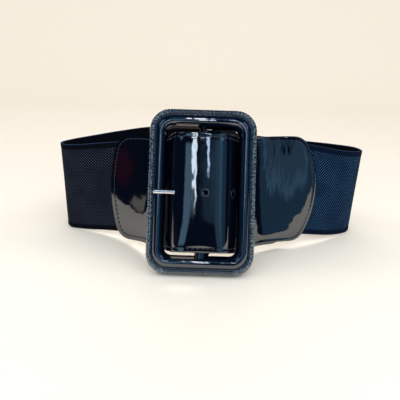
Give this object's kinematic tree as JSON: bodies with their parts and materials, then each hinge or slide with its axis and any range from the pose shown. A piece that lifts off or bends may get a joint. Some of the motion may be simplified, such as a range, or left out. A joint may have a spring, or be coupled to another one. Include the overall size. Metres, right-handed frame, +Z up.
{
  "type": "elastic stretch belt",
  "caption": "Wide woven elastic waist belt closed in front by a glossy leather strap through a large covered pin buckle, standing on its edge as a loop",
  "frame": {"origin": "middle of the bounding box's floor, on the surface that the belt stands on", "axes": "+X runs along the belt to the right of the buckle as seen from in front, +Y from the buckle to the back of the loop, +Z up across the belt's width"},
  "size_m": [0.256, 0.1656, 0.1109],
  "materials": {
    "woven_elastic": "matt navy twill elastic with a fine dotted diagonal weave and plain woven edges",
    "patent_leather": "high-gloss navy patent coating on leather, stitched near the edge",
    "covered_frame": "navy patent leather stretched over the buckle's core, gathered in fine pleats at its outer rim",
    "nickel": "bright nickel plating"
  },
  "bodies": {
    "root": {"elastic_band": "woven_elastic", "strap": "patent_leather", "buckle_tab": "patent_leather", "buckle_frame": "covered_frame", "centre_bar": "nickel", "prong": "nickel"}
  },
  "joints": []
}
